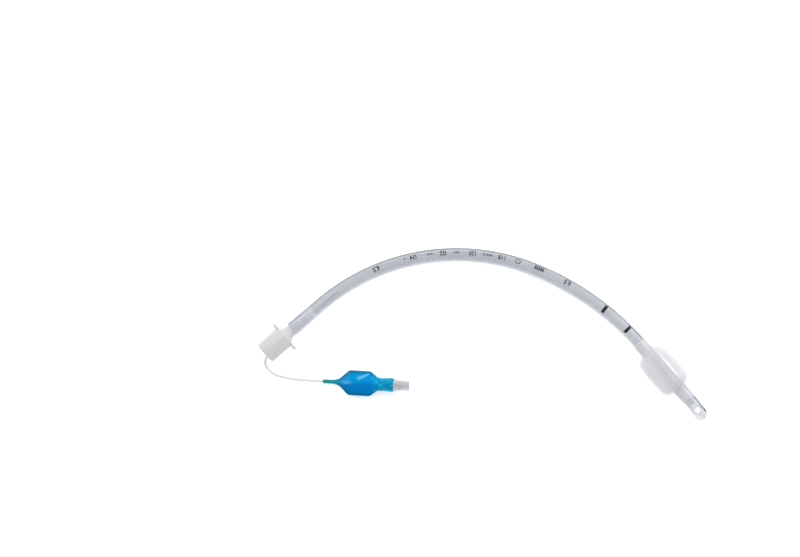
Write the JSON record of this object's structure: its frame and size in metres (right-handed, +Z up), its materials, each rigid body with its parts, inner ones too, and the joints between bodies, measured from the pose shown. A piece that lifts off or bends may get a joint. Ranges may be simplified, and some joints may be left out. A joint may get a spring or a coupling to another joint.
{
  "type": "endotracheal tube",
  "caption": "Cuffed endotracheal tube: bent clear tube with a bevelled tip, inflatable cuff, 15 mm cone connector, and a thin line to a pilot balloon with a valve.",
  "frame": {"origin": "on the table, under the middle of the tube, cuff and connector's bounding box", "axes": "+X from the machine end towards the patient end, along the longest extent; +Z up from the table; the tube's arch bulges towards +Y"},
  "size_m": [0.3025, 0.1164, 0.0225],
  "materials": {
    "clear_tube": "clear extruded soft PVC",
    "xray_line": "blue-grey filled PVC strand inside the wall",
    "cuff_film": "translucent blown PVC film",
    "connector": "natural injection moulded polypropylene, milky",
    "inflation_line": "clear extruded PVC line",
    "pilot_balloon": "translucent blue PVC film",
    "valve_housing": "clear injection moulded plastic",
    "valve_poppet": "white moulded plastic with a soft sealing face",
    "valve_spring": "bright stainless spring wire",
    "valve_retainer": "white moulded plastic"
  },
  "bodies": {
    "tube_set": {"main_tube": "clear_tube", "xray_line": "xray_line", "cuff": "cuff_film", "connector": "connector", "inflation_line": "inflation_line", "pilot_balloon": "pilot_balloon", "valve_housing": "valve_housing", "valve_spring": "valve_spring", "valve_retainer": "valve_retainer"},
    "valve_stem": {"valve_poppet": "valve_poppet"}
  },
  "joints": [
    {"name": "valve_slide", "type": "slide", "parent": "tube_set", "child": "valve_stem", "axis": [-0.9953, 0.0539, -0.0802], "range_m": [0, 0.0015], "stiffness_N_per_m": 300, "deforming": ["valve_spring"]}
  ]
}
